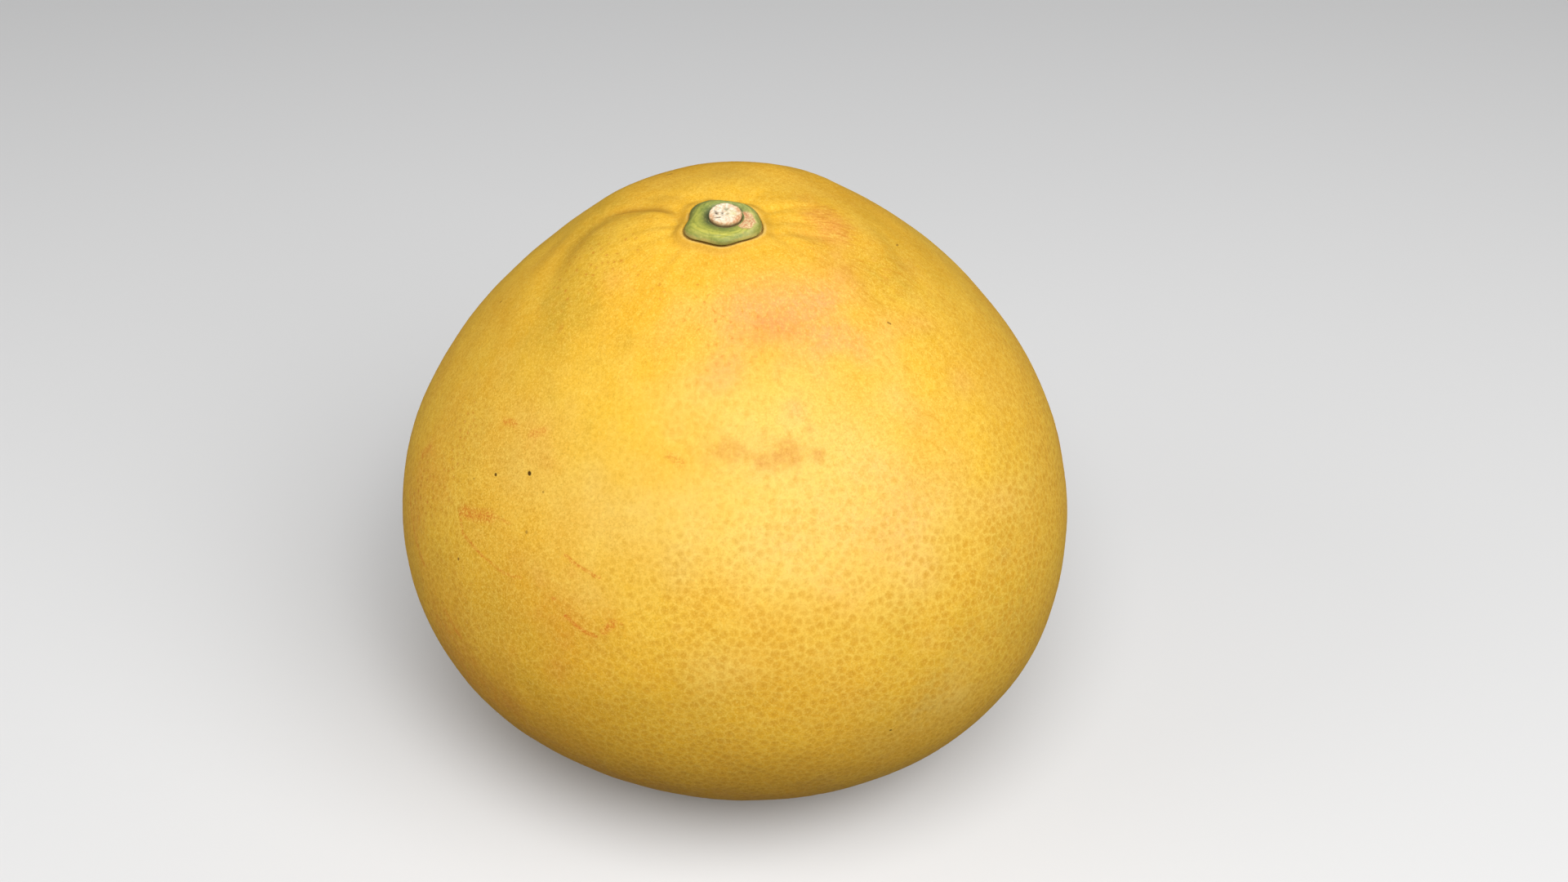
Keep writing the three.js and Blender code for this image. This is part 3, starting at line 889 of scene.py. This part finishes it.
DARK, RUST, GREY = (74, 45, 8), (228, 122, 44), (150, 104, 40)
STROKES = [  # places (polar, azimuth) along it, half width, softness, colour, strength
    ([(56.1, -143.7)], 0.2, 0.25, DARK, 0.9),
    ([(52.0, -136.1)], 0.33, 0.25, DARK, 0.95),
    ([(65.4, -147.0), (64.2, -144.0), (62.4, -140.5)], 0.3, 1.9, RUST, 0.6),
    ([(61.7, -139.0), (61.2, -135.8)], 0.1, 0.5, RUST, 0.3),
    ([(66.0, -148.0), (68.6, -145.2), (69.1, -139.3)], 0.12, 0.6, RUST, 0.5),
    ([(69.1, -139.3), (69.2, -133.3), (68.2, -129.8)], 0.08, 0.5, RUST, 0.4),
    ([(61.0, -122.0), (61.6, -120.0), (62.4, -115.5)], 0.1, 0.5, RUST, 0.6),
    ([(62.4, -114.6)], 0.15, 0.5, RUST, 0.6),
    ([(68.6, -122.4)], 0.15, 0.6, RUST, 0.6),
    ([(70.6, -119.6), (71.4, -117.6), (72.1, -115.4), (72.2, -113.5)], 0.15, 0.5, RUST, 0.7),
    ([(71.0, -112.1), (69.1, -110.6)], 0.3, 0.9, RUST, 0.6),
    ([(68.9, -109.2)], 0.1, 0.5, RUST, 0.4),
    ([(75.6, -165.2), (79.1, -158.5), (80.9, -152.8)], 0.12, 0.8, RUST, 0.45),
    ([(65.1, -164.9), (68.0, -166.0)], 0.2, 1.2, RUST, 0.45),
    ([(84.1, -145.0), (86.5, -140.5)], 0.15, 0.8, RUST, 0.4),
    ([(40.7, -104.2), (41.7, -100.8)], 0.22, 1.2, RUST, 0.35),
    ([(48.1, -148.7), (47.1, -145.8)], 0.1, 1.2, RUST, 0.45),
    ([(46.3, -140.0), (44.6, -137.6)], 0.1, 1.5, RUST, 0.45),
    ([(30.5, -30.3), (30.9, -30.0)], 0.12, 0.2, GREY, 0.8),
    ([(30.0, 10.4), (30.4, 11.4)], 0.1, 0.25, GREY, 0.7),
    ([(42.6, 175.8)], 0.18, 0.2, GREY, 0.7),
    ([(21.3, 116.0), (21.5, 117.0)], 0.2, 0.4, GREY, 0.6),
    ([(72.9, -144.1)], 0.18, 0.2, GREY, 0.9),
    ([(59.6, -148.2)], 0.1, 0.2, GREY, 0.8),
    ([(60.7, -131.5)], 0.12, 0.4, GREY, 0.6),
    ([(53.3, -131.2)], 0.08, 0.3, GREY, 0.6),
    ([(62.3, -11.1)], 0.16, 0.2, GREY, 0.6),
    ([(91.2, -66.4)], 0.18, 0.2, DARK, 0.6),
    ([(60.0, 95.0), (62.5, 98.5), (66.0, 99.0)], 0.12, 0.5, RUST, 0.5),
    ([(88.0, 140.0), (86.0, 146.0)], 0.3, 1.0, RUST, 0.45),
    ([(74.0, 35.0)], 0.22, 0.25, DARK, 0.8),
    ([(104.0, 96.0), (107.5, 101.0), (112.0, 102.0)], 0.1, 0.5, RUST, 0.5),
    ([(50.0, 60.0)], 0.18, 0.2, GREY, 0.7),
    ([(150.0, -40.0), (146.0, -28.0)], 0.2, 0.7, RUST, 0.4),
]
print(len(STROKES), "small marks")

# %% Ripe colours of the peel, with painted shade and a painted highlight
YELLOW, GOLD, PALE_FLECK = tint(252, 199, 60), tint(246, 184, 52), (255, 214, 96)
TONES_AND_PAINTED_LIGHT = [  # attribute, tint, strength, how much the noise breaks it up
    # warm: a deeper yellow; on the crown mostly a tone of the peel, below the waist and on the shaded side
    # painted shade
    ("warm_and_shade", (242, 174, 24), 0.65, 0.2),
    # pale: mainly a painted highlight on the lit front, partly paler peel
    ("pale_and_highlight", (255, 222, 128), 0.75, 0.25),
    # olive: partly the peel's green tint, partly painted shade beside the furrow and on the lower belt
    ("olive_and_shade", (198, 158, 46), 0.75, 0.5),
    ("amber", (236, 148, 54), 0.65, 0.6),
    ("blush", (252, 170, 112), 0.85, 0.3),
    ("bruise", (214, 130, 54), 0.85, 0.5),
    ("silver", (216, 196, 124), 0.5, 0.8),
]


def new_material(name, roughness, specular=0.5):
    material = bpy.data.materials.new(name)
    material.use_nodes = True
    shader = material.node_tree.nodes["Principled BSDF"]
    shader.inputs["Roughness"].default_value = roughness
    shader.inputs["Specular IOR Level"].default_value = specular
    return Recipe(material.node_tree), shader.inputs, material


recipe, skin, peel_material = new_material("waxy_peel", 0.5, 0.06)
place = recipe.add("TexCoord").outputs["Object"]
colour = recipe.blend(mottle(recipe, place, 26.0, 0.3, 0.7), YELLOW, GOLD)
fine_mottle = mottle(recipe, place, 3.2, 0.3, 0.7)
colour = recipe.coat(colour, fine_mottle, 0.25, PALE_FLECK, 0.88)
breakup = mottle(recipe, place, 2.2, 0.25, 0.75)
for name, paint, strength, broken in TONES_AND_PAINTED_LIGHT:
    whole = recipe.math("MULTIPLY_ADD", breakup, -broken, 1.0)
    colour = recipe.coat(colour, recipe.times(recipe.reading(name), whole), strength, paint)
print(len(TONES_AND_PAINTED_LIGHT), "ripe layers")

# %% Glands and freckles
GLAND_SHADE, NET_LIGHT, FRECKLE = (222, 160, 44), (255, 218, 104), (220, 124, 46)
glands = recipe.group(OIL_GLANDS, place=place, first=recipe.reading("gland_1", "Vector"),
                      second=recipe.reading("gland_2", "Vector"), third=recipe.reading("gland_3", "Vector"))
gland_show = recipe.reading("gland_show")
show = recipe.times(gland_show, recipe.math("MULTIPLY_ADD", glands["Tone"], 0.5, 0.6))
colour = recipe.coat(colour, recipe.times(glands["Dot"], show), 0.58, GLAND_SHADE)
colour = recipe.coat(colour, recipe.times(glands["Net"], gland_show), 0.22, NET_LIGHT, 0.9)
freckled = recipe.times(recipe.span(glands["Tone"], 0.4, 0.55), recipe.reading("freckle"))
in_pit = recipe.math("SUBTRACT", 1.0, recipe.span(glands["Pit"], 0.05, 0.4))
colour = recipe.coat(colour, recipe.times(freckled, in_pit), 0.7, FRECKLE)
print("gland layers laid;", len(peel_material.node_tree.nodes), "nodes so far")

# %% Grain, streaks and scuffs
GRAIN_SHADE, GRAIN_LIGHT, SCUFF = (206, 150, 44), (255, 224, 108), (214, 128, 50)
grain = recipe.noise(place, 0.9, 5, 0.75)
flakes = recipe.noise(place, 0.4, 3, 0.8)
rough = recipe.math("SUBTRACT", 1.0, recipe.reading("smooth"))
flaky = recipe.math("MULTIPLY_ADD", rough, 0.34, 0.1)
flaky = recipe.math("MULTIPLY_ADD", recipe.reading("scurf"), 0.24, flaky)
for speckle, strength in ((grain, 0.26), (flakes, flaky)):
    colour = recipe.blend(recipe.span(speckle, 0.5, 0.68, 0.0, strength), colour, tint(*GRAIN_SHADE))
    colour = recipe.blend(recipe.span(speckle, 0.5, 0.32, 0.0, strength), colour, tint(*GRAIN_LIGHT, 0.92))
streaks = recipe.noise(recipe.reading("streak_place", "Vector"), 0.6, 3, 0.7)
streak_show = recipe.reading("streak_show")
scuffs = recipe.times(recipe.span(streaks, 0.46, 0.6), recipe.reading("scuffed"))
colour = recipe.coat(colour, scuffs, 0.5, SCUFF)
dark_streaks = recipe.times(recipe.span(streaks, 0.52, 0.7), streak_show)
colour = recipe.coat(colour, dark_streaks, 0.4, GLAND_SHADE)
print("grain and streaks laid;", len(peel_material.node_tree.nodes), "nodes so far")

# %% Draw the small marks
TORN_FROM = 0.45  # a mark softer than this, in mm, is broken up by the flakes
RAG = 0.35  # mm, about the most that the edge of a mark strays
ragged = recipe.math("MULTIPLY_ADD", recipe.noise(place, 0.8, 3), 2.2, -1.1)
torn = recipe.math("ADD", recipe.span(flakes, 0.44, 0.58), 0.18)
pinholes = 0.0
for places, width, softness, paint, strength in STROKES:
    spots = [on_peel(*p) for p in places]
    ragged_edge = recipe.times(ragged, min(0.5 * softness, RAG))
    mask = 0.0
    for start, end in zip(spots, spots[1:] or spots):
        stroke = recipe.group(MARK, place=place, start=start, stroke=end - start, width=width,
                              softness=softness, ragged=ragged_edge)["Mask"]
        mask = recipe.math("MAXIMUM", stroke, mask)
    if softness > TORN_FROM:
        mask = recipe.times(mask, torn)
    colour = recipe.coat(colour, mask, strength, paint)
    if paint == DARK:
        pinholes = recipe.math("ADD", mask, pinholes)
print("marks drawn;", len(peel_material.node_tree.nodes), "nodes so far")

# %% Painted shade in creases and round the calyx, painted light under its rim, gloss and bump of the peel
PEEL_BUMP = 0.06 * MM
# Painted shade in the creases and in the ring round the calyx, and painted light on the seat under the calyx
# rim.
colour = recipe.coats(colour, [
    ("crease_shade", (186, 134, 44), 0.7), ("calyx_shade_ring", (196, 144, 50), 0.5), ("lip", (234, 202, 128), 0.6),
    ("seat_painted_light", (240, 198, 110), 0.8), ("style_scar", (120, 82, 38), 0.8)])
recipe.give(skin["Base Color"], colour)
recipe.give(skin["Roughness"], recipe.span(fine_mottle, 0.0, 1.0, 0.44, 0.56))
height = recipe.times(glands["Pit"], gland_show)
height = recipe.math("MULTIPLY_ADD", flakes, 1.0, recipe.math("MULTIPLY_ADD", grain, 0.5, height))
height = recipe.math("MULTIPLY_ADD", recipe.times(streaks, streak_show), -1.5, height)
height = recipe.math("MULTIPLY_ADD", pinholes, -4.0, height)
recipe.bumpy(skin, height, 0.5, PEEL_BUMP)
peel.data.materials.append(peel_material)
print(peel_material.name, len(peel_material.node_tree.nodes), "nodes")

# %% [markdown]
# ## Calyx material
#
# Fleshy green, with a painted highlight of yellow on the lit shoulder, and painted shade of grey-green
# down in the groove, on the flanks, along the back rim and on the shaded side. The brown line along the
# lower rim is partly the rim's own colour and partly painted shade. There is a tan scar where the skin
# was rubbed. Fine streaks follow the rim.

# %% Calyx material
STREAK_DARK, FIBRE_LIGHT, FIBRE_DARK = (118, 134, 50), (220, 208, 112), (104, 116, 46)
CALYX_BUMP = 0.08 * MM
recipe, skin, calyx_material = new_material("fleshy_calyx", 0.5)
place = recipe.add("TexCoord").outputs["Object"]
colour = recipe.blend(mottle(recipe, place, 2.6), tint(172, 176, 74), tint(138, 154, 66))
# The shaded side, the groove, the flanks and the back rim get painted shade, the lower rim partly painted
# shade, and the shoulder a painted highlight.
colour = recipe.coats(colour, [
    ("shaded_side_grey", (160, 172, 104), 0.6), ("shoulder_highlight", (212, 204, 86), 0.75), ("groove", (92, 102, 66), 0.95),
    ("flank_shade", (150, 140, 56), 0.65), ("back_rim_shade", (88, 104, 60), 0.85), ("edge", (140, 108, 52), 0.7),
    ("rim_cream", (226, 204, 116), 0.4)])
rim_streaks = recipe.span(recipe.reading("streak"), 0.55, 1.0, 0.0, 0.45)
colour = recipe.blend(rim_streaks, colour, tint(*STREAK_DARK))
fibres = recipe.noise(place, 0.55, 4, 0.65)
colour = recipe.blend(recipe.span(fibres, 0.5, 0.72, 0.0, 0.35), colour, tint(*FIBRE_LIGHT))
colour = recipe.blend(recipe.span(fibres, 0.5, 0.28, 0.0, 0.4), colour, tint(*FIBRE_DARK))
scab = recipe.blend(mottle(recipe, place, 0.42, 0.36, 0.64), tint(242, 216, 160, 0.88), tint(220, 152, 108))
colour = recipe.blend(recipe.reading("scar"), colour, scab)
colour = recipe.coats(colour, [("scar_border", (214, 206, 120), 0.6)])
recipe.give(skin["Base Color"], colour)
recipe.give(skin["Roughness"], recipe.span(fibres, 0.2, 0.8, 0.45, 0.65))
recipe.bumpy(skin, fibres, 0.4, CALYX_BUMP)
calyx.data.materials.append(calyx_material)
print(calyx_material.name, len(calyx_material.node_tree.nodes), "nodes")

# %% [markdown]
# ## Cut stalk material
#
# Dry cork is rough and dusty, so it has hardly any sheen. The vessels are tinted dark as well as
# pitted.

# %% Cut stalk material
SPECK, CORK_BUMP = (150, 122, 84), 0.1 * MM
recipe, cork, stalk_material = new_material("dry_cut_stalk", 0.85, 0.25)
place = recipe.add("TexCoord").outputs["Object"]
crumb = mottle(recipe, place, 0.5, 0.38, 0.62)
colour = recipe.blend(crumb, tint(252, 240, 216, 0.95), tint(236, 208, 172, 0.92))
bark = recipe.blend(crumb, tint(240, 204, 158, 0.9), tint(224, 164, 120))
colour = recipe.coat(colour, mottle(recipe, place, 0.32, 0.6, 0.7), 0.4, SPECK)
colour = recipe.blend(recipe.reading("bark_ring"), colour, bark)
# The dark tint on the stalk's side is painted shade.
colour = recipe.coats(colour, [
    ("sap_green", (214, 212, 132), 0.5), ("grey_spot", (140, 134, 92), 0.8), ("side", (118, 102, 62), 0.85),
    ("pit", (62, 44, 32), 0.95)])
recipe.give(cork["Base Color"], colour)
dust = recipe.noise(place, 0.3, 3, 0.7)
recipe.give(cork["Roughness"], recipe.span(dust, 0.2, 0.8, 0.75, 0.95))
recipe.bumpy(cork, dust, 0.6, CORK_BUMP)
stalk.data.materials.append(stalk_material)
print(stalk_material.name, len(stalk_material.node_tree.nodes), "nodes")

# %% [markdown]
# ## Riding on the solids
#
# Each dressed piece now takes the place of its solid: it rides on the root body and hides that solid.

# %% Tie the pieces to the solids
STAND_INS = [(peel, "fruit", "peel"), (calyx, "calyx", "calyx"), (stalk, "stem_stub", "cut_stalk")]
for piece, node, finish in STAND_INS:
    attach(piece, "root")
    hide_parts(node)
    print(piece.name, "replaces", node)

# %% [markdown]
# ## Floor, light and camera
#
# A plain pale floor and soft light show the fruit without drawing the eye. A wide lamp from the upper
# front and a weaker one from the right model the form, a faint one on the left opens the shadows, and
# a pale sky fills in the rest. The floor looks pale, but throws less light back than it seems to: Light
# Path gives the lens one grey and every other ray a darker one, so the fruit's lower half keeps its
# depth.

# %% Floor
FLOOR_SIZE = 3.0  # metres from the middle to an edge
SEEN_GREY, THROWN_GREY = grey(0.74), grey(0.18)
ground = bmesh.new()
bmesh.ops.create_grid(ground, x_segments=1, y_segments=1, size=FLOOR_SIZE)
floor = new_piece("floor", ground)
recipe, paper, floor_material = new_material("pale_floor", 0.9, 0.2)
seen = recipe.add("LightPath").outputs["Is Camera Ray"]
recipe.give(paper["Base Color"], recipe.blend(seen, THROWN_GREY, SEEN_GREY))
floor.data.materials.append(floor_material)
print("floor", 2 * FLOOR_SIZE, "m across")

# %% Light
SKY, SKY_STRENGTH = (0.95, 0.97, 1.0, 1.0), 0.08
LAMPS = [  # name, degrees to the right and up, metres away and across, watts
    ("key", 0, 60, 1.2, 0.9, 12.0),
    ("right", 48, 46, 1.2, 0.9, 8.0),
    ("left_fill", -78, 25, 1.2, 0.9, 3.3),
]
for name, turn, lift, distance, size, power in LAMPS:
    lamp = bpy.data.lights.new(name, "AREA")
    lamp.shape, lamp.size, lamp.energy = "DISK", size, power
    a, e = math.radians(turn), math.radians(lift)
    way = Vector((math.sin(a) * math.cos(e), -math.cos(a) * math.cos(e), math.sin(e)))
    holder = bpy.data.objects.new(name, lamp)
    holder.location = CENTRE * MM + way * distance
    holder.rotation_euler = way.to_track_quat("Z", "Y").to_euler()
    bpy.context.scene.collection.objects.link(holder)

world = bpy.data.worlds.new("studio")
bpy.context.scene.world = world
world.use_nodes = True
world.node_tree.nodes["Background"].inputs["Color"].default_value = SKY
world.node_tree.nodes["Background"].inputs["Strength"].default_value = SKY_STRENGTH
bpy.context.scene.view_settings.view_transform = "Standard"
print(len(LAMPS), "lamps and a sky")

# %% Camera
lens = bpy.data.cameras.new("camera")
lens.lens, lens.sensor_width = 37.79, 36
lens.shift_x, lens.shift_y = 0.02863, 0.0249
camera = bpy.data.objects.new("camera", lens)
camera.location = Vector((1.2, -286.69, 304.87)) * MM
camera.rotation_euler = Euler((math.radians(50), 0, 0))
bpy.context.scene.collection.objects.link(camera)
bpy.context.scene.camera = camera
print("camera at", [round(v / MM, 1) for v in camera.location], "mm")
